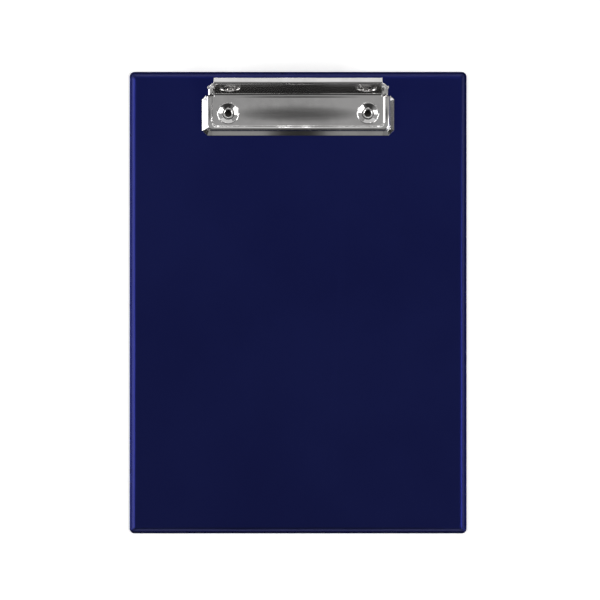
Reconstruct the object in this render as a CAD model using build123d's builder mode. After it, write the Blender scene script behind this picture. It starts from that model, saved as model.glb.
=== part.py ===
from build123d import *
import os
from math import acos, asin, atan, atan2, cos, degrees, hypot, radians, sin, tan

# An A4 clipboard: a film-covered greyboard with a riveted spring clip at its top edge.
# The board lies on its back. X runs across it, Y runs up it towards the clip and Z rises from its back face.
# The origin is the middle of the back face. Lengths are in millimetres and angles in degrees.

# Board
board_width = 230.0
board_length = 315.0
board_corner_radius = 3.4
core_thickness = 2.3
film_thickness = 0.35
weld_rim = 1.2  # flat seam around the board where the two films meet
shoulder_run = 2.4  # how far the front film leans in while it climbs over the core
shoulder_radius = 2.6  # rounding where the film turns onto the face
shoulder_corner_share = 0.7  # of the drape's corner radius at its foot, left at its top
core_corner_radius = 1.0
film_slack = 0.02

# Clip, measured from the board's top edge and from the hinge pin
clip_setback = 7.5  # board's top edge to the base plate's rear edge
pin_setback = 4.0  # base plate's rear edge to the hinge pin
jaw_reach = 32.3  # hinge pin to the mouth edge
jaw_half_width = 65.5
rivet_reach = 17.2  # hinge pin to the rivets
rivet_side_inset = 18.0  # jaw's side to the rivets
rivet_spacing = 2 * (jaw_half_width - rivet_side_inset)
max_opening = 18.0  # angle at which the jaw's heels stand on the base plate

# Base plate with its ears
base_thickness = 1.0
base_side_inset = 3.5  # jaw's side to the base plate's
base_half_width = jaw_half_width - base_side_inset
base_front_reach = 24.5  # hinge pin to the base plate's front edge
base_front_radius = 4.0
ear_lean = 8.0
ear_corner_radius = 5.8
ear_front_reach = 5.4  # hinge pin to the front edge of an ear
ear_over_pin = 1.9  # sheet left above the pin's hole
ear_front_radius = 1.2  # seen from the side, clear of the bead at full opening
ear_curl_radius = 2.2  # the ears' upper edge is curled inwards
ear_lip = 4.0  # the ears turn the rear corner and curl inwards as far as this
rib_width = 5.0  # pressed rib that stiffens the base plate between its rivets
rib_height = 0.8
rib_lean = 30.0
rib_end_gap = 16.0  # rivet's middle to the rib's end

# Hinge pin and springs
pin_radius = 1.25
pin_proud = 0.05
pin_chamfer = 0.2
pin_fit = 0.02  # radial, fixed in the ears
hinge_fit = 0.05  # radial, turning in the jaw's lugs
wire_radius = 0.55
coil_pin_gap = 0.4
coil_floor_gap = 0.45
coil_wall_gap = 0.6
coil_turn_gap = 0.12
coil_turns = 6
spring_spacing = 52.0
leg_gap = 0.04
floor_leg_length = 3.2
wall_contact = 0.72  # share of the wall's length at which the leg meets it

# Jaw pressing
jaw_thickness = 0.7
jaw_tilt = 2.0  # lifts the side skirts so that only the mouth edge grips
mouth_gap = 0.05
skirt_run = 3.0
skirt_rise = 2.8
skirt_corner_cut = 3.6
bead_rise = 1.8
bead_lean = 18.0
bead_outer_radius = 1.7
bead_corner_radius = 4.5
bead_rear_gap = 0.6  # to the front edge of an ear
skirt_tail = 2.0  # how far the side skirts run on beside the ears
panel_drop = 1.15  # bead's crest down to the panel
bead_side_width = 7.5  # jaw's side to the panel
panel_half_width = jaw_half_width - bead_side_width
panel_front = 6.6  # mouth edge to the panel
panel_lean = 30.0
panel_corner_radius = 2.8
panel_crest_radius = 1.4
panel_foot_radius = 0.5
wall_side_inset = 1.2  # panel's side to the wall's end
wall_half_width = panel_half_width - wall_side_inset
wall_angle = 58.0
wall_length = 12.4
wall_foot_radius = 2.2
wall_crest_radius = 1.6
flap_angle = -10.0
flap_length = 3.65
lug_radius = 2.9
lug_corner_radius = 0.9
lug_root_share = 0.75  # of the wall's length that a lug hangs from
lug_root_start = 1.0  # wall's foot to the lug
heel_back_reach = 0.3  # how far the heel's flat runs behind the pin
heel_slope_share = 0.6  # of the heel's reach at which its slope starts
heel_gap = 0.05

# Dished holes of the jaw, one around each rivet
dish_hole_radius = 4.3
dish_crest_radius = 7.0
dish_foot_radius = 7.45
dish_crest_rise = 0.6
dish_depth = 0.85  # panel down to the edge of the hole
dish_crest_round = 0.5
dish_overlap = 0.3  # plain panel that belongs to the ring

# Rivets
rivet_bore_radius = 2.2
rivet_shank_radius = 2.9
rivet_roll_radius = 4.0
rivet_roll_height = 1.15
rivet_head_radius = 4.6
rivet_head_thickness = 0.8
rivet_head_dome = 0.25
rivet_bore_depth = 3.4
rivet_bore_tip = 0.73  # cone at the bottom of the bore
rivet_fit = 0.03

# Places worked out from the sizes above
board_top = film_thickness + core_thickness + film_thickness
base_top = board_top + base_thickness
base_rear = board_length / 2 - clip_setback
pin_y = base_rear - pin_setback
coil_radius = pin_radius + coil_pin_gap + wire_radius
coil_outer_radius = coil_radius + wire_radius
pin_z = base_top + coil_floor_gap + coil_outer_radius
mouth_y = pin_y - jaw_reach
rivet_y = pin_y - rivet_reach
ear_front = pin_y - ear_front_reach
ear_top = pin_z + pin_radius + ear_over_pin
ear_lip_half_width = base_half_width - ear_lip
rivet_places = [(-rivet_spacing / 2, rivet_y), (rivet_spacing / 2, rivet_y)]

# The jaw is drawn flat in its own frame: origin on the mouth edge, y to the rear, z up from its lower rim
jaw_seat = Plane(
    origin=(0, mouth_y, board_top + mouth_gap),
    x_dir=(1, 0, 0),
    z_dir=(0, -sin(radians(jaw_tilt)), cos(radians(jaw_tilt))),
)
jaw_pin = jaw_seat.to_local_coords(Vector(0, pin_y, pin_z))
dish_y = jaw_seat.to_local_coords(Vector(0, rivet_y, base_top)).Y
dish_places = [(-rivet_spacing / 2, dish_y), (rivet_spacing / 2, dish_y)]
bead_end = (ear_front - bead_rear_gap - mouth_y) / cos(radians(jaw_tilt))
skirt_angle = degrees(atan(skirt_run / skirt_rise))
bead_top = skirt_rise + bead_rise
panel_height = bead_top - panel_drop
tray_length = bead_end + skirt_tail
wall_standoff = coil_outer_radius + coil_wall_gap + jaw_thickness
pin_over_panel = (jaw_pin.Z - panel_height) * cos(radians(wall_angle))
wall_foot = jaw_pin.Y - (wall_standoff + pin_over_panel) / sin(radians(wall_angle))


def corner_shift(sheet, angle_1, angle_2):
    """How far the corner between two faces moves in and up when both move inwards by sheet.

    Each angle is a face's lean from upright: 0 for a wall and 90 for a flat top.
    """
    a, b = radians(angle_1), radians(angle_2)
    share = sheet / (1 + cos(a - b))
    return share * (cos(a) + cos(b)), -share * (sin(a) + sin(b))


def board_outline(inset, radius):
    """The board's outline, moved in by inset."""
    return RectangleRounded(board_width - 2 * inset, board_length - 2 * inset, radius)


def place(label, part):
    """Names a finished piece and writes its file."""
    part.label = label
    export_step(part, f"parts/{label}.step")


os.makedirs("parts", exist_ok=True)

# Front film: a flat rim that is welded to the back film, a leaning shoulder and a flat face
shoulder_angle = degrees(atan(shoulder_run / core_thickness))
rim_top = 2 * film_thickness


def draped_form(inset, bottom, top, edge_radius):
    """The raised middle of the front film, leaning in from bottom to top."""
    lean = (top - bottom) * tan(radians(shoulder_angle))
    foot_radius = board_corner_radius - weld_rim
    with BuildPart() as form:
        with BuildSketch(Plane.XY.offset(bottom)):
            board_outline(inset, foot_radius)
        with BuildSketch(Plane.XY.offset(top)):
            board_outline(inset + lean, foot_radius * shoulder_corner_share)
        loft(ruled=True)
        fillet(form.faces().sort_by(Axis.Z)[-1].edges(), edge_radius)
    return form.part


cavity_inset = weld_rim + film_thickness / cos(radians(shoulder_angle))
cavity_inset -= film_thickness * tan(radians(shoulder_angle))
cavity_radius = shoulder_radius - film_thickness
outer_drape = draped_form(weld_rim, rim_top, board_top, shoulder_radius)
inner_drape = draped_form(cavity_inset, film_thickness, board_top - film_thickness, cavity_radius)

with BuildPart() as front_cover:
    with BuildSketch(Plane.XY.offset(film_thickness)):
        board_outline(0, board_corner_radius)
    extrude(amount=film_thickness)
    add(outer_drape)
    add(inner_drape, mode=Mode.SUBTRACT)
    with BuildSketch(Plane.XY.offset(board_top)):
        with Locations(*rivet_places):
            Circle(rivet_shank_radius + rivet_fit)
    extrude(amount=-2 * film_thickness, mode=Mode.SUBTRACT)
place("front_cover", front_cover.part)

# Back film: flat, with a dimple that each rivet's head is drawn into
dimple_radius = rivet_head_radius + rivet_fit
with BuildPart() as back_cover:
    with BuildSketch():
        board_outline(0, board_corner_radius)
    extrude(amount=film_thickness)
    with BuildSketch():
        with Locations(*rivet_places):
            Circle(dimple_radius + film_thickness)
    extrude(amount=rivet_head_thickness + film_thickness)
    with BuildSketch():
        with Locations(*rivet_places):
            Circle(dimple_radius)
    extrude(amount=rivet_head_thickness, mode=Mode.SUBTRACT)
    with BuildSketch():
        with Locations(*rivet_places):
            Circle(rivet_shank_radius + rivet_fit)
    extrude(amount=rivet_head_thickness + film_thickness, mode=Mode.SUBTRACT)
place("back_cover", back_cover.part)

# Greyboard core, cut square, under the flat part of the front film
core_inset = cavity_inset + core_thickness * tan(radians(shoulder_angle))
core_inset += cavity_radius * tan(radians(45 - shoulder_angle / 2)) + film_slack
with BuildPart() as core_board:
    with BuildSketch(Plane.XY.offset(film_thickness)):
        board_outline(core_inset, core_corner_radius)
    extrude(amount=core_thickness)
    with BuildSketch(Plane.XY.offset(film_thickness)):
        with Locations(*rivet_places):
            Circle(dimple_radius + film_thickness)
    extrude(amount=rivet_head_thickness, mode=Mode.SUBTRACT)
    with BuildSketch(Plane.XY.offset(film_thickness)):
        with Locations(*rivet_places):
            Circle(rivet_shank_radius + rivet_fit)
    extrude(amount=core_thickness, mode=Mode.SUBTRACT)
place("core_board", core_board.part)


# Base plate: the floor of a leaning tray whose walls are left only at the rear corners, as ears
def base_form(inset, bottom):
    """The base plate's closed tray, moved in by inset from its outer face."""
    front = pin_y - base_front_reach
    foot_inset = inset / cos(radians(ear_lean)) + (bottom - board_top) * tan(radians(ear_lean))
    width = 2 * (base_half_width - foot_inset)
    rear = base_rear - foot_inset
    with BuildPart() as form:
        with BuildSketch(Plane.XY.offset(bottom)) as outline:
            with Locations((0, (front + rear) / 2)):
                Rectangle(width, rear - front)
            rear_corners = outline.vertices().group_by(Axis.Y)[-1]
            fillet(rear_corners, ear_corner_radius - foot_inset)
            fillet(outline.vertices().group_by(Axis.Y)[0], base_front_radius)
        extrude(amount=ear_top - inset - bottom, taper=ear_lean)
        curl = form.faces().sort_by(Axis.Z)[-1].edges().sort_by(Axis.Y)[1:]
        fillet(curl, ear_curl_radius - inset)
    return form.part


base_outside = base_form(0, board_top)
base_inside = base_form(base_thickness, base_top)

with BuildPart() as base_plate:
    add(base_outside)
    add(base_inside, mode=Mode.SUBTRACT)
    # What stays, seen from the side: the floor and the ears
    with BuildSketch(Plane.YZ):
        with BuildLine():
            base_front = pin_y - base_front_reach
            round_y = ear_front + ear_front_radius
            round_z = ear_top - ear_front_radius
            round_mid = ear_front_radius * cos(radians(45))
            Polyline(
                (round_y, ear_top),
                (base_rear, ear_top),
                (base_rear, board_top),
                (base_front, board_top),
                (base_front, base_top),
                (ear_front, base_top),
                (ear_front, round_z),
            )
            ThreePointArc(
                (ear_front, round_z),
                (round_y - round_mid, round_z + round_mid),
                (round_y, ear_top),
            )
        make_face()
    extrude(amount=base_half_width, both=True, mode=Mode.INTERSECT)
    # Only the curled ears are left of the tray's roof and rear wall
    with BuildSketch(Plane.XY.offset(base_top)):
        with Locations((0, pin_y)):
            Rectangle(2 * ear_lip_half_width, 4 * ear_front_reach)
    extrude(amount=ear_top, mode=Mode.SUBTRACT)
    # Pin holes through both ears
    with BuildSketch(Plane.YZ):
        with Locations((pin_y, pin_z)):
            Circle(pin_radius + pin_fit)
    extrude(amount=base_half_width, both=True, mode=Mode.SUBTRACT)
    # Rivet holes
    with BuildSketch(Plane.XY.offset(board_top)):
        with Locations(*rivet_places):
            Circle(rivet_shank_radius + rivet_fit)
    extrude(amount=base_thickness, mode=Mode.SUBTRACT)
    # Stiffening rib between the rivets, pressed up from below
    rib_length = rivet_spacing - 2 * rib_end_gap
    with BuildSketch(Plane.XY.offset(base_top)):
        with Locations((0, rivet_y)):
            SlotOverall(rib_length, rib_width)
    extrude(amount=rib_height, taper=rib_lean)
    with BuildSketch(Plane.XY.offset(board_top)):
        with Locations((0, rivet_y)):
            SlotOverall(rib_length, rib_width - base_thickness)
    extrude(amount=rib_height, taper=rib_lean, mode=Mode.SUBTRACT)
place("base_plate", base_plate.part)

# Hinge pin, fixed in the ears
pin_half_length = base_half_width - (pin_z - board_top) * tan(radians(ear_lean)) + pin_proud
with BuildPart() as hinge_pin:
    with BuildSketch(Plane.YZ.offset(-pin_half_length)):
        with Locations((pin_y, pin_z)):
            Circle(pin_radius)
    extrude(amount=2 * pin_half_length)
    chamfer(hinge_pin.edges().filter_by(GeomType.CIRCLE), pin_chamfer)
place("hinge_pin", hinge_pin.part)

# Rivets: a flat head at the back, a blind bore and an end rolled over onto the base plate
roll_top = base_top + rivet_roll_height
roll_middle = (rivet_bore_radius + rivet_roll_radius) / 2
for side_name, (rivet_x, _) in zip(("left", "right"), rivet_places):
    with BuildPart() as rivet:
        with BuildSketch(Plane.XZ.offset(-rivet_y)):
            with BuildLine():
                Polyline(
                    (rivet_x, 0),
                    (rivet_x + rivet_head_radius - rivet_head_dome, 0),
                    (rivet_x + rivet_head_radius, rivet_head_dome),
                    (rivet_x + rivet_head_radius, rivet_head_thickness),
                    (rivet_x + rivet_shank_radius, rivet_head_thickness),
                    (rivet_x + rivet_shank_radius, base_top),
                    (rivet_x + rivet_roll_radius, base_top),
                )
                ThreePointArc(
                    (rivet_x + rivet_roll_radius, base_top),
                    (rivet_x + roll_middle, roll_top),
                    (rivet_x + rivet_bore_radius, base_top),
                )
                Polyline(
                    (rivet_x + rivet_bore_radius, base_top),
                    (rivet_x + rivet_bore_radius, roll_top - rivet_bore_depth),
                    (rivet_x, roll_top - rivet_bore_depth - rivet_bore_tip),
                    (rivet_x, 0),
                )
            make_face()
        revolve(axis=Axis((rivet_x, rivet_y, 0), (0, 0, 1)))
    place(f"rivet_{side_name}", rivet.part)


# Jaw: skirts, bead and panel are one form, drawn once for the outside and once for the hollow below.
# It is drawn longer than the jaw and cut off later, so its edges beyond these limits stay sharp.
pick = 0.001  # tolerance for picking edges by their height
crest_limit = 1.5 * tray_length
foot_limit = 1.9 * tray_length


def tray_form(sheet):
    """The jaw's tray as a solid block, with every face moved inwards by sheet."""
    knee_in, knee_down = corner_shift(sheet, skirt_angle, bead_lean)
    rim_inset = sheet / cos(radians(skirt_angle)) if sheet else 0
    knee_height = skirt_rise + knee_down
    top = bead_top - sheet
    bead_inset = skirt_run + knee_in
    pocket_out, pocket_down = corner_shift(sheet, panel_lean, 90)
    pocket_floor = panel_height + pocket_down
    pocket_width = 2 * (panel_half_width + pocket_out)
    pocket_front = panel_front - pocket_out
    width = 2 * jaw_half_width
    with BuildPart() as form:
        with BuildSketch() as rim:
            with Locations((0, tray_length / 2)):
                Rectangle(width - 2 * rim_inset, tray_length - 2 * rim_inset)
            cut = skirt_corner_cut - rim_inset * (2 - 2**0.5)
            chamfer(rim.vertices(), cut)
        extrude(amount=knee_height, taper=skirt_angle)
        with BuildSketch(Plane.XY.offset(knee_height)) as bead:
            with Locations((0, bead_inset + tray_length)):
                Rectangle(width - 2 * bead_inset, 2 * tray_length)
            fillet(bead.vertices().group_by(Axis.Y)[0], bead_corner_radius - knee_in)
        extrude(amount=top - knee_height, taper=bead_lean)
        crest_outline = form.faces().sort_by(Axis.Z)[-1].edges()
        fillet(crest_outline.sort_by(Axis.Y)[:-1], bead_outer_radius - sheet)
        extrude(bead.sketch, amount=-knee_height)
        with BuildSketch(Plane.XY.offset(pocket_floor)) as pocket:
            with Locations((0, pocket_front + 2 * tray_length)):
                Rectangle(pocket_width, 4 * tray_length)
            fillet(pocket.vertices().group_by(Axis.Y)[0], panel_corner_radius + pocket_out)
        extrude(amount=top - pocket_floor, taper=-panel_lean, mode=Mode.SUBTRACT)
        # The recess is rounded at its crest and at its foot
        crest = form.edges().filter_by_position(Axis.Z, top - pick, top + pick)
        crest_side = panel_half_width + bead_outer_radius
        near = crest.filter_by(lambda e: e.center().Y < crest_limit)
        inside = near.filter_by(lambda e: abs(e.center().X) < crest_side)
        fillet(inside.sort_by(Axis.Y)[1:], panel_crest_radius - sheet)
        foot = form.edges().filter_by_position(Axis.Z, pocket_floor - pick, pocket_floor + pick)
        fillet(foot.filter_by(lambda e: e.center().Y < foot_limit), panel_foot_radius + sheet)
    return form.part


tray_outside = tray_form(0)
tray_inside = tray_form(jaw_thickness)

# Wall and thumb flap: one bent strip that carries on from the panel's rear edge
crest_y = wall_foot + wall_length * cos(radians(wall_angle))
crest_z = panel_height + wall_length * sin(radians(wall_angle))
flap_y = crest_y + flap_length * cos(radians(flap_angle))
flap_z = crest_z + flap_length * sin(radians(flap_angle))
strip_start = bead_end - skirt_tail


def wall_underside(along, below):
    """A point beside the wall: along it from its foot and below its outer face."""
    a = radians(wall_angle)
    return (
        wall_foot + along * cos(a) + below * sin(a),
        panel_height + along * sin(a) - below * cos(a),
    )


# A lug reaches down from each end of the wall to the pin. Its heel is a flat that
# meets the floor at full opening.
heel_reach = coil_floor_gap + coil_outer_radius - heel_gap
heel_angle = max_opening - jaw_tilt


def beside_pin(down, rear):
    """A point at a distance from the pin, measured square to the heel and along it."""
    a = radians(heel_angle)
    return (
        jaw_pin.Y + down * sin(a) + rear * cos(a),
        jaw_pin.Z - down * cos(a) + rear * sin(a),
    )


with BuildPart() as jaw_plate:
    add(tray_outside)
    add(tray_inside, mode=Mode.SUBTRACT)
    # Behind the bead only the side skirts go on, outside the ears
    with BuildSketch(Plane.XY):
        with Locations((0, bead_end + tray_length)):
            Rectangle(2 * (base_half_width + bead_rear_gap), 2 * tray_length)
    extrude(amount=bead_top, mode=Mode.SUBTRACT)
    with BuildSketch(Plane.YZ) as strip:
        with BuildLine():
            spine = FilletPolyline(
                (strip_start, panel_height),
                (wall_foot, panel_height),
                (crest_y, crest_z),
                (flap_y, flap_z),
                radius=[wall_foot_radius, wall_crest_radius],
            )
            offset(spine, amount=jaw_thickness, side=Side.RIGHT)
        make_face()
    extrude(amount=wall_half_width, both=True)
    # Dishes: the panel is drawn up into a lip around each rivet and falls inside it to the hole
    with BuildSketch(Plane.XY.offset(bead_top)):
        with Locations(*dish_places):
            Circle(dish_foot_radius)
    extrude(amount=-bead_top, mode=Mode.SUBTRACT)
    for dish_x, dish_y in dish_places:
        with BuildSketch(Plane.XZ.offset(-dish_y)) as ring:
            with BuildLine():
                rim_line = Polyline(
                    (dish_x + dish_foot_radius + dish_overlap, panel_height),
                    (dish_x + dish_foot_radius, panel_height),
                    (dish_x + dish_crest_radius, panel_height + dish_crest_rise),
                    (dish_x + dish_hole_radius, panel_height - dish_depth),
                )
                offset(rim_line, amount=jaw_thickness, side=Side.LEFT, kind=Kind.INTERSECTION)
            make_face()
            fillet(ring.vertices().sort_by(Axis.Y)[-1], dish_crest_round)
        revolve(axis=Axis((dish_x, dish_y, 0), (0, 0, 1)))
    # Lugs
    with BuildSketch(Plane.YZ.offset(wall_half_width)) as lug:
        with BuildLine():
            Polyline(
                wall_underside(lug_root_start, jaw_thickness / 2),
                wall_underside(lug_root_share * wall_length, jaw_thickness / 2),
                beside_pin(-lug_radius, lug_radius),
                beside_pin(heel_reach, lug_radius),
                beside_pin(heel_reach, -heel_back_reach),
                beside_pin(heel_slope_share * heel_reach, -lug_radius),
                close=True,
            )
        make_face()
        fillet(lug.vertices().sort_by(Axis.X)[-2:], lug_corner_radius)
    lug_right = extrude(amount=-jaw_thickness)
    mirror(lug_right, about=Plane.YZ)
    with BuildSketch(Plane.YZ):
        with Locations((jaw_pin.Y, jaw_pin.Z)):
            Circle(pin_radius + hinge_fit)
    extrude(amount=wall_half_width, both=True, mode=Mode.SUBTRACT)
place("jaw_plate", jaw_plate.part.moved(jaw_seat.location))


# Torsion springs: one leg stands on the base plate behind the pin, the other pushes the wall up from below
leg_contact = jaw_seat.from_local_coords(
    Vector(0, *wall_underside(wall_contact * wall_length, jaw_thickness + leg_gap + wire_radius))
)
contact_y, contact_z = leg_contact.Y - pin_y, leg_contact.Z - pin_z
contact_distance = hypot(contact_y, contact_z)
wall_leg_length = (contact_distance**2 - coil_radius**2) ** 0.5
wall_leg_start = degrees(atan2(contact_z, contact_y) + acos(coil_radius / contact_distance))
floor_leg_start = 270 - degrees(asin((coil_floor_gap - leg_gap) / floor_leg_length))
turned = 360 * coil_turns + floor_leg_start - wall_leg_start
coil_pitch = 2 * wire_radius + coil_turn_gap
coil_length = coil_pitch * turned / 360

# A spring is drawn in its own frame: z along the pin, x from the pin to where the wall's leg leaves the coil
with BuildPart() as spring:
    with BuildLine() as wire:
        coil = Helix(coil_pitch, coil_length, coil_radius)
        Line((coil @ 0) - (coil % 0) * wall_leg_length, coil @ 0)
        Line(coil @ 1, (coil @ 1) + (coil % 1) * floor_leg_length)
    with BuildSketch(Plane(origin=wire.wire() @ 0, z_dir=wire.wire() % 0)):
        Circle(wire_radius)
    sweep(path=wire.wire())

start_angle = radians(wall_leg_start)
spring_seat = Plane(
    origin=(spring_spacing / 2 - coil_length / 2, pin_y, pin_z),
    x_dir=(0, cos(start_angle), sin(start_angle)),
    z_dir=(1, 0, 0),
)
spring_right = spring.part.moved(spring_seat.location)
place("torsion_spring_right", spring_right)
place("torsion_spring_left", spring_right.mirror(Plane.YZ))
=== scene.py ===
from math import acos, asin, atan2, cos, pi, radians, sin

import bmesh
import bpy
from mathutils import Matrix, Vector

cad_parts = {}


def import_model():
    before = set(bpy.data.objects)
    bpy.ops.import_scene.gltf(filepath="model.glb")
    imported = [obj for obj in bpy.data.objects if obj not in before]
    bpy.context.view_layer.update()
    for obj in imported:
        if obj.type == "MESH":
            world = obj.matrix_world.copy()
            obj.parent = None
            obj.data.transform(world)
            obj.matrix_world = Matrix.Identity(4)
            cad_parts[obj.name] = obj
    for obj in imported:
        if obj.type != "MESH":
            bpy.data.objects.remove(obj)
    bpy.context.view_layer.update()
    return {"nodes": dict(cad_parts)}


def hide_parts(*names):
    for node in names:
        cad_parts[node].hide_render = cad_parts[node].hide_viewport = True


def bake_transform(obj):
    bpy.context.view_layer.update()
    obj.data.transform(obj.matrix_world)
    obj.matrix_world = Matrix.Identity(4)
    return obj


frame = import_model()
nodes = frame["nodes"]

# Sizes in metres, repeated from the part's source
PIN = Vector((0, 0.146, 0.0072))
RIVETS = {"left": Vector((-0.0475, 0.1288, 0)), "right": Vector((0.0475, 0.1288, 0))}

# Spring and jaw, from the same source
WIRE_RADIUS = 0.00055
COIL_RADIUS = 0.0022
COIL_TURNS = 6
COIL_TURN_GAP = 0.00012
COIL_FLOOR_GAP = 0.00045
FLOOR_LEG = 0.0032
LEG_GAP = 0.00004
SPRING_MIDDLE = 0.026
JAW_SHEET = 0.0007
JAW_TILT = 2.0
JAW_SEAT = (0.1137, 0.00305)
WALL_ANGLE = 58.0
WALL_CONTACT = 0.72 * 0.0124
WALL_FOOT = (0.027918, 0.00345)

# How finely the spring wire is drawn
COIL_STEPS = 40
LEG_STEPS = 6
WIRE_RINGS = 20
TIP_DOME = 0.25

# Levels of the studio around the part, as a mirror shows them
SIDE_LEVEL = 0.15
CEILING_LEVEL = 0.36
BOTTOM_SHARE = 0.2
SIDE_GLOW = 0.18
LOW_GLOW = 0.26
FLOOR_GLOW = 0.25

# The dark shape that stands for the camera: half width, half depth and place along y, as parts
# of a unit direction, and the share of light that is left at its middle
CAMERA_SHAPE = (0.13, 0.06, 0.032)
CAMERA_SHARE = 0.3

# The camera looks straight down. A pixel in metres, the camera's height, and the pixel of the
# photo that the board's middle is at
PHOTO_SIZE = 600
PIXEL = 0.683e-3
CAMERA_HEIGHT = 1.2
BOARD_PIXEL = (298.1, 302.65)
SENSOR_WIDTH = 36
FLOOR_HALF = 3.0
FLOOR_DROP = 0.0002

# Lamps: azimuth and elevation in degrees, distance, width and height in metres, level
LAMPS = {
    "left_box": (186, 18, 1.8, 1.35, 1.7, 4.3),
    "right_box": (-18, 33, 1.8, 1.25, 0.8, 6.2),
    "top_box": (90, 52, 1.9, 2.2, 1.6, 0.52),
    "top_strip_left": (103, 16, 2.0, 0.5, 0.4, 4.0),
    "top_strip_right": (80, 16, 2.0, 0.4, 0.4, 4.0),
    "crest_strip_left": (92.2, 50, 2.0, 0.05, 0.55, 4.0),
    "crest_strip_right": (88.8, 50, 2.0, 0.04, 0.55, 4.0),
    "corner_strip_left": (135, 6, 2.0, 0.45, 0.4, 2.5),
    "corner_strip_right": (-45, 6, 2.0, 0.45, 0.4, 2.5),
}

# The jaw's panel is bowed a little, as thin pressed sheet is: its middle and its curvature along x and y
PANEL_MIDDLE = (-0.0004, 0.1285)
PANEL_BOW = (0.9, 4.2)
PANEL_HALF = (0.058, 0.0105)


# Materials
class Paint:
    """A material and short calls that add nodes to it."""

    def __init__(self, name, **values):
        self.material = bpy.data.materials.new(name)
        self.material.use_nodes = True
        self.tree = self.material.node_tree
        self.shader = self.tree.nodes["Principled BSDF"]
        for socket, value in values.items():
            self.shader.inputs[socket.replace("_", " ")].default_value = value
        self.place = self.add("ShaderNodeTexCoord").outputs["Object"]

    @classmethod
    def of_tree(cls, tree):
        paint = cls.__new__(cls)
        paint.tree = tree
        tree.nodes.clear()
        return paint

    def add(self, kind, inputs=None, **settings):
        node = self.tree.nodes.new(kind)
        for key, value in settings.items():
            setattr(node, key, value)
        for key, value in (inputs or {}).items():
            self.put(node.inputs[key], value)
        return node

    def put(self, socket, value):
        if isinstance(value, bpy.types.NodeSocket):
            self.tree.links.new(value, socket)
        else:
            socket.default_value = value

    def stretched(self, x, y, z):
        node = self.add("ShaderNodeMapping", {"Vector": self.place, "Scale": (x, y, z)})
        return node.outputs["Vector"]

    def noise(self, scale, detail=2.0, rough=0.5, at=None, distortion=0.0):
        node = self.add(
            "ShaderNodeTexNoise",
            {
                "Vector": at or self.place,
                "Scale": scale,
                "Detail": detail,
                "Roughness": rough,
                "Distortion": distortion,
            },
        )
        return node.outputs["Fac"]

    def cells(self, scale, feature="F1", at=None):
        node = self.add("ShaderNodeTexVoronoi", {"Vector": at or self.place, "Scale": scale}, feature=feature)
        return node.outputs["Distance"]

    def math(self, kind, a, b=0.0, c=0.0, clamp=False):
        node = self.add("ShaderNodeMath", {0: a, 1: b, 2: c}, operation=kind, use_clamp=clamp)
        return node.outputs[0]

    def span(self, value, low, high, to_low=0.0, to_high=1.0):
        """value from low to high, mapped smoothly to to_low to to_high."""
        node = self.add(
            "ShaderNodeMapRange",
            {"Value": value, "From Min": low, "From Max": high, "To Min": to_low, "To Max": to_high},
            interpolation_type="SMOOTHSTEP",
        )
        return node.outputs["Result"]

    def mix(self, share, a, b):
        node = self.add("ShaderNodeMix", data_type="RGBA")
        for socket, value in ((0, share), (6, a), (7, b)):
            self.put(node.inputs[socket], value)
        return node.outputs[2]

    def axes(self):
        return self.add("ShaderNodeSeparateXYZ", {"Vector": self.place}).outputs

    def colour(self, value):
        self.put(self.shader.inputs["Base Color"], value)

    def rough(self, value):
        self.put(self.shader.inputs["Roughness"], value)

    def bump(self, *layers, first=None):
        """Each layer is a height, its depth in metres and its strength. They start from the normal first."""
        normal = first
        for height, depth, strength in layers:
            inputs = {"Height": height, "Distance": depth, "Strength": strength}
            if normal:
                inputs["Normal"] = normal
            normal = self.add("ShaderNodeBump", inputs).outputs["Normal"]
        self.put(self.shader.inputs["Normal"], normal)


def film():
    """Navy film with a fine leather grain; it is thin and glossier on the welded rim."""
    p = Paint("navy_film", Specular_IOR_Level=1.0, Specular_Tint=(0.05, 0.08, 1.0, 1.0))
    blotch = p.noise(9, 3, 0.55)
    streak = p.noise(60, 4, 0.6, at=p.stretched(1.0, 0.06, 1.0), distortion=0.6)
    base = p.mix(p.span(blotch, 0.3, 0.7), (0.0046, 0.0056, 0.014, 1), (0.0056, 0.0070, 0.018, 1))
    base = p.mix(p.span(streak, 0.62, 0.8, 0, 0.25), base, (0.0072, 0.0090, 0.026, 1))
    height = p.axes()["Z"]
    rim = p.span(height, 0.0008, 0.0012, 1.0, 0.0)
    base = p.mix(p.math("MULTIPLY", rim, 0.5), base, (0.003, 0.004, 0.026, 1))
    speck = p.math("GREATER_THAN", p.noise(1500, 1, 0.5), 0.79)
    base = p.mix(p.math("MULTIPLY", speck, 0.35), base, (0.02, 0.024, 0.09, 1))
    p.colour(base)
    grain = p.cells(1150, "DISTANCE_TO_EDGE", at=p.stretched(1.0, 0.8, 1.0))
    pebble = p.noise(2600, 2, 0.6)
    wave = p.noise(22, 2, 0.5, at=p.stretched(1.0, 0.12, 1.0))
    p.rough(p.math("ADD", p.span(blotch, 0.2, 0.8, 0.31, 0.36), p.math("MULTIPLY", rim, -0.06)))
    p.bump(
        (wave, 0.0004, 0.12),
        (p.span(grain, 0.0, 0.35), 0.00004, 0.5),
        (pebble, 0.00003, 0.35),
        first=p.add("ShaderNodeBevel", {"Radius": 0.002}, samples=8).outputs["Normal"],
    )
    return p.material


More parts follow.
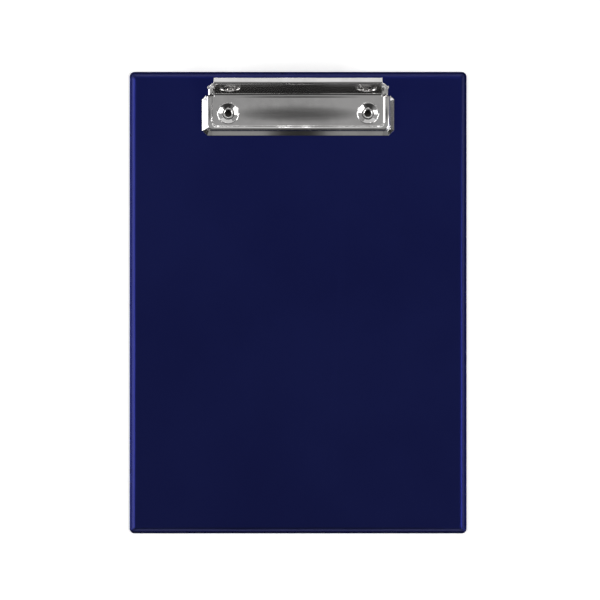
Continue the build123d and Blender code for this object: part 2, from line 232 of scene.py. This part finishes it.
def plated(name, tint, rough_low, rough_high, lines=(1.0, 1.0, 1.0), bowed=False):
    """Bright nickel plating over rolled sheet: faint rolling lines, haze and pin specks."""
    p = Paint(name, Metallic=1.0, IOR=2.0)
    shaped = [(bow_height(p), 1.0, 1.0), draw_lines(p)] if bowed else []
    haze = p.noise(45, 4, 0.6)
    rolled = p.noise(900, 3, 0.6, at=p.stretched(*lines))
    speck = p.math("GREATER_THAN", p.noise(1700, 1, 0.5), 0.8)
    dull = tuple(0.86 * c for c in tint)
    base = p.mix(p.span(haze, 0.35, 0.75), (*tint, 1), (*dull, 1))
    base = p.mix(p.math("MULTIPLY", speck, 0.2), base, (0.3, 0.29, 0.28, 1))
    p.colour(base)
    p.rough(p.span(p.math("ADD", haze, rolled), 0.7, 1.3, rough_low, rough_high))
    edges = p.add("ShaderNodeBevel", {"Radius": 0.0003}, samples=6).outputs["Normal"]
    p.bump(
        *shaped,
        (p.noise(70, 2, 0.5), 0.0003, 0.04),
        (rolled, 0.000003, 0.1),
        first=edges,
    )
    return p


def bow_height(p):
    """Height of the jaw's bowed panel above a flat one."""
    axes = p.axes()
    total = None
    for axis, middle, bow, half in zip("XY", PANEL_MIDDLE, PANEL_BOW, PANEL_HALF):
        off = p.math("SUBTRACT", axes[axis], middle)
        off = p.math("MAXIMUM", p.math("MINIMUM", off, half), -half)
        drop = p.math("MULTIPLY", p.math("MULTIPLY", off, off), -bow / 2)
        total = p.math("ADD", total, drop) if total else drop
    return total


def draw_lines(p):
    """Long shallow lines that the press leaves along the jaw's wall, above its panel."""
    lines = p.noise(420, 2, 0.5, at=p.stretched(0.02, 1.0, 1.0))
    return lines, 0.00006, p.span(p.axes()["Z"], 0.0086, 0.0096)


def clip_nickel(name, bowed=False):
    return plated(name, (0.80, 0.79, 0.785), 0.04, 0.09, (0.05, 1.0, 1.0), bowed).material


def pin_steel():
    return plated("pin_nickel", (0.74, 0.73, 0.72), 0.1, 0.2, (0.02, 1.0, 1.0)).material


def rivet_nickel(name, centre):
    """Like the clip, but with painted shade: the inside of its bore is painted near black."""
    p = plated(name, (0.80, 0.79, 0.78), 0.07, 0.16)
    axes = p.axes()
    off_x = p.math("SUBTRACT", axes["X"], centre.x)
    off_y = p.math("SUBTRACT", axes["Y"], centre.y)
    squared = p.math("ADD", p.math("MULTIPLY", off_x, off_x), p.math("MULTIPLY", off_y, off_y))
    away = p.math("SQRT", squared)
    # Painted shade: inside the bore, below its mouth, the colour is painted near black where shade falls
    bore_painted_shade = p.math("MULTIPLY", p.span(away, 0.0021, 0.0024, 1, 0), p.span(axes["Z"], 0.0034, 0.0048, 1, 0))
    unshaded_base = p.shader.inputs["Base Color"].links[0].from_socket
    p.colour(p.mix(bore_painted_shade, unshaded_base, (0.03, 0.028, 0.026, 1)))
    return p.material


def wire_steel():
    """Drawn spring wire: die lines along the wire, slightly uneven colour."""
    p = Paint("wire_steel", Metallic=1.0, IOR=2.0)
    drawn = p.noise(700, 3, 0.7, at=p.stretched(1.0, 0.3, 0.3))
    patch = p.noise(160, 3, 0.6)
    p.colour(p.mix(p.span(patch, 0.3, 0.7), (0.56, 0.56, 0.57, 1), (0.40, 0.40, 0.41, 1)))
    p.rough(p.span(drawn, 0.3, 0.7, 0.22, 0.36))
    p.bump((drawn, 0.00001, 0.4))
    return p.material


def greyboard():
    """Recycled greyboard: fibres and dark flecks."""
    p = Paint("greyboard", Specular_IOR_Level=0.3, Roughness=0.9)
    fibre = p.noise(900, 5, 0.7, at=p.stretched(1.0, 0.35, 1.0))
    fleck = p.cells(420)
    base = p.mix(p.span(fibre, 0.3, 0.7), (0.36, 0.34, 0.31, 1), (0.50, 0.48, 0.44, 1))
    base = p.mix(p.span(fleck, 0.0, 0.12, 0.6, 0.0), base, (0.16, 0.15, 0.14, 1))
    p.colour(base)
    p.bump((fibre, 0.00008, 0.5))
    return p.material


def wear(obj, material):
    """Gives an object one material in all its slots."""
    if not obj.data.materials:
        obj.data.materials.append(material)
    for slot in obj.material_slots:
        slot.material = material


navy = film()
wear(nodes["front_cover"], navy)
wear(nodes["back_cover"], navy)
wear(nodes["core_board"], greyboard())
wear(nodes["base_plate"], clip_nickel("base_nickel"))
wear(nodes["jaw_plate"], clip_nickel("jaw_nickel", bowed=True))
wear(nodes["hinge_pin"], pin_steel())
for side, centre in RIVETS.items():
    wear(nodes[f"rivet_{side}"], rivet_nickel(f"rivet_nickel_{side}", centre))


# Torsion springs
def spring_line():
    """The right spring's centreline, from its wall leg's tip through the coil to its floor leg's tip."""
    tilt, wall = radians(JAW_TILT), radians(WALL_ANGLE)
    along, below = WALL_CONTACT, JAW_SHEET + LEG_GAP + WIRE_RADIUS
    local_y = WALL_FOOT[0] + along * cos(wall) + below * sin(wall)
    local_z = WALL_FOOT[1] + along * sin(wall) - below * cos(wall)
    contact_y = JAW_SEAT[0] + local_y * cos(tilt) - local_z * sin(tilt) - PIN.y
    contact_z = JAW_SEAT[1] + local_y * sin(tilt) + local_z * cos(tilt) - PIN.z
    reach = (contact_y**2 + contact_z**2) ** 0.5
    first = atan2(contact_z, contact_y) + acos(COIL_RADIUS / reach)
    last = 2 * pi * COIL_TURNS + 1.5 * pi - asin((COIL_FLOOR_GAP - LEG_GAP) / FLOOR_LEG)
    pitch = 2 * WIRE_RADIUS + COIL_TURN_GAP
    length = pitch * (last - first) / (2 * pi)
    low = SPRING_MIDDLE - length / 2
    slope = Vector((pitch / (2 * pi * COIL_RADIUS), 0, 0))

    def at(angle):
        x = low + pitch * (angle - first) / (2 * pi)
        return Vector((x, PIN.y + COIL_RADIUS * cos(angle), PIN.z + COIL_RADIUS * sin(angle)))

    def heading(angle):
        return (Vector((0, -sin(angle), cos(angle))) + slope).normalized()

    wall_leg = (reach**2 - COIL_RADIUS**2) ** 0.5
    line = [at(first) - heading(first) * wall_leg * (1 - i / LEG_STEPS) for i in range(LEG_STEPS)]
    steps = round((last - first) / (2 * pi) * COIL_STEPS)
    line += [at(first + (last - first) * i / steps) for i in range(steps + 1)]
    line += [at(last) + heading(last) * FLOOR_LEG * (i + 1) / LEG_STEPS for i in range(LEG_STEPS)]
    return line, low, low + length


def swept(name, line, radius, rings):
    """A round wire along a line, with domed ends."""
    mesh = bmesh.new()
    ups = Vector((1, 0, 0))
    loops = []
    tip = [(TIP_DOME, 0.7), (TIP_DOME / 2, 0.92)]
    sections = [(line[0], -out * radius, share, 0) for out, share in tip]
    sections += [(point, 0, 1.0, i) for i, point in enumerate(line)]
    sections += [(line[-1], out * radius, share, len(line) - 1) for out, share in reversed(tip)]
    for point, shift, share, i in sections:
        ahead = (line[min(i + 1, len(line) - 1)] - line[max(i - 1, 0)]).normalized()
        side = ahead.cross(ups).normalized()
        up = side.cross(ahead)
        centre = point + ahead * shift
        turn = [2 * pi * k / rings for k in range(rings)]
        loops.append([mesh.verts.new(centre + (side * cos(t) + up * sin(t)) * radius * share) for t in turn])
    for one, other in zip(loops, loops[1:]):
        for k in range(rings):
            mesh.faces.new((one[k], one[(k + 1) % rings], other[(k + 1) % rings], other[k]))
    mesh.faces.new(reversed(loops[0]))
    mesh.faces.new(loops[-1])
    bmesh.ops.recalc_face_normals(mesh, faces=mesh.faces)
    data = bpy.data.meshes.new(name)
    mesh.to_mesh(data)
    mesh.free()
    data.polygons.foreach_set("use_smooth", [True] * len(data.polygons))
    piece = bpy.data.objects.new(name, data)
    bpy.context.scene.collection.objects.link(piece)
    return piece


steel = wire_steel()
spring_path, coil_low, coil_high = spring_line()
for side, sign in (("left", -1), ("right", 1)):
    mirrored = [Vector((sign * q.x, q.y, q.z)) for q in spring_path]
    wire = swept(f"spring_wire_{side}", mirrored, WIRE_RADIUS, WIRE_RINGS)
    wear(wire, steel)
    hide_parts(f"torsion_spring_{side}")
    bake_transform(wire)


# Stage, light and camera
def stage_floor():
    mesh = bpy.data.meshes.new("floor")
    corners = [(x * FLOOR_HALF, y * FLOOR_HALF, 0) for x, y in ((-1, -1), (1, -1), (1, 1), (-1, 1))]
    mesh.from_pydata([Vector(c) for c in corners], [], [(0, 1, 2, 3)])
    floor = bpy.data.objects.new("floor", mesh)
    bpy.context.scene.collection.objects.link(floor)
    p = Paint("floor_white", Base_Color=(0.9, 0.9, 0.9, 1), Roughness=0.9, Specular_IOR_Level=0.0)
    path = p.add("ShaderNodeLightPath").outputs
    seen = p.math("MAXIMUM", path["Is Camera Ray"], path["Is Glossy Ray"])
    p.shader.inputs["Emission Color"].default_value = (1, 1, 1, 1)
    p.put(p.shader.inputs["Emission Strength"], p.math("MULTIPLY", seen, FLOOR_GLOW))
    wear(floor, p.material)
    floor.location.z = -FLOOR_DROP


def world():
    """A dim studio: lighter overhead, dark at the board's bottom edge, with the camera as a dark shape."""
    scene_world = bpy.data.worlds.new("studio")
    bpy.context.scene.world = scene_world
    scene_world.use_nodes = True
    p = Paint.of_tree(scene_world.node_tree)
    direction = p.add("ShaderNodeTexCoord").outputs["Generated"]
    axes = p.add("ShaderNodeSeparateXYZ", {"Vector": direction}).outputs
    ceiling = p.span(axes["Z"], 0.5, 0.97, SIDE_LEVEL, CEILING_LEVEL)
    level = p.math("MULTIPLY", ceiling, p.span(axes["Y"], -0.75, -0.1, BOTTOM_SHARE, 1.0))
    across = p.math("DIVIDE", axes["X"], CAMERA_SHAPE[0])
    along = p.math("DIVIDE", p.math("SUBTRACT", axes["Y"], CAMERA_SHAPE[2]), CAMERA_SHAPE[1])
    away = p.math("ADD", p.math("MULTIPLY", across, across), p.math("MULTIPLY", along, along))
    level = p.math("MULTIPLY", level, p.span(away, 0.0, 1.0, CAMERA_SHARE, 1.0))
    level = p.math("MULTIPLY", level, p.math("GREATER_THAN", axes["Z"], -0.02))
    low = p.math("MULTIPLY", p.span(axes["Y"], -0.9, -0.7, 1, 0), p.span(axes["Z"], 0.12, 0.35, 1, 0))
    aside = p.math("ABSOLUTE", axes["X"])
    level = p.math("ADD", level, p.math("MULTIPLY", low, p.span(aside, 0.02, 0.06, 0, LOW_GLOW)))
    glow = p.math("MULTIPLY", p.span(aside, 0.25, 0.72, 0, SIDE_GLOW), p.span(axes["Z"], 0.1, 0.4, 0, 1))
    level = p.math("ADD", level, glow)
    dim = p.add("ShaderNodeBackground", {"Color": (1, 1, 1, 1), "Strength": level})
    white = p.add("ShaderNodeBackground", {"Color": (1, 1, 1, 1), "Strength": 1.0})
    seen = p.add("ShaderNodeLightPath").outputs["Is Camera Ray"]
    mix = p.add("ShaderNodeMixShader", {0: seen, 1: dim.outputs[0], 2: white.outputs[0]})
    p.add("ShaderNodeOutputWorld", {"Surface": mix.outputs[0]})


def softbox(name, azimuth, elevation, distance, width, height, level):
    """A rectangular lamp that shows at that level in a mirror. Azimuth 0 is right, 90 is the clip's end."""
    a, e = radians(azimuth), radians(elevation)
    place = distance * Vector((cos(e) * cos(a), cos(e) * sin(a), sin(e)))
    light = bpy.data.lights.new(name, "AREA")
    light.shape = "RECTANGLE"
    light.size, light.size_y = width, height
    light.energy = level * pi * width * height
    lamp = bpy.data.objects.new(name, light)
    lamp.location = place
    lamp.rotation_euler = (-place).to_track_quat("-Z", "Y").to_euler()
    bpy.context.scene.collection.objects.link(lamp)


def camera():
    data = bpy.data.cameras.new("overhead")
    lens = bpy.data.objects.new("overhead", data)
    data.sensor_width = SENSOR_WIDTH
    data.lens = SENSOR_WIDTH * CAMERA_HEIGHT / (PHOTO_SIZE * PIXEL)
    data.clip_start, data.clip_end = 0.05, 50
    middle = PHOTO_SIZE / 2
    aside, along = middle - BOARD_PIXEL[0], BOARD_PIXEL[1] - middle
    lens.location = (aside * PIXEL, along * PIXEL, CAMERA_HEIGHT)
    bpy.context.scene.collection.objects.link(lens)
    bpy.context.scene.camera = lens


stage_floor()
world()
for name, values in LAMPS.items():
    softbox(name, *values)
camera()
bpy.context.scene.view_settings.view_transform = "Standard"
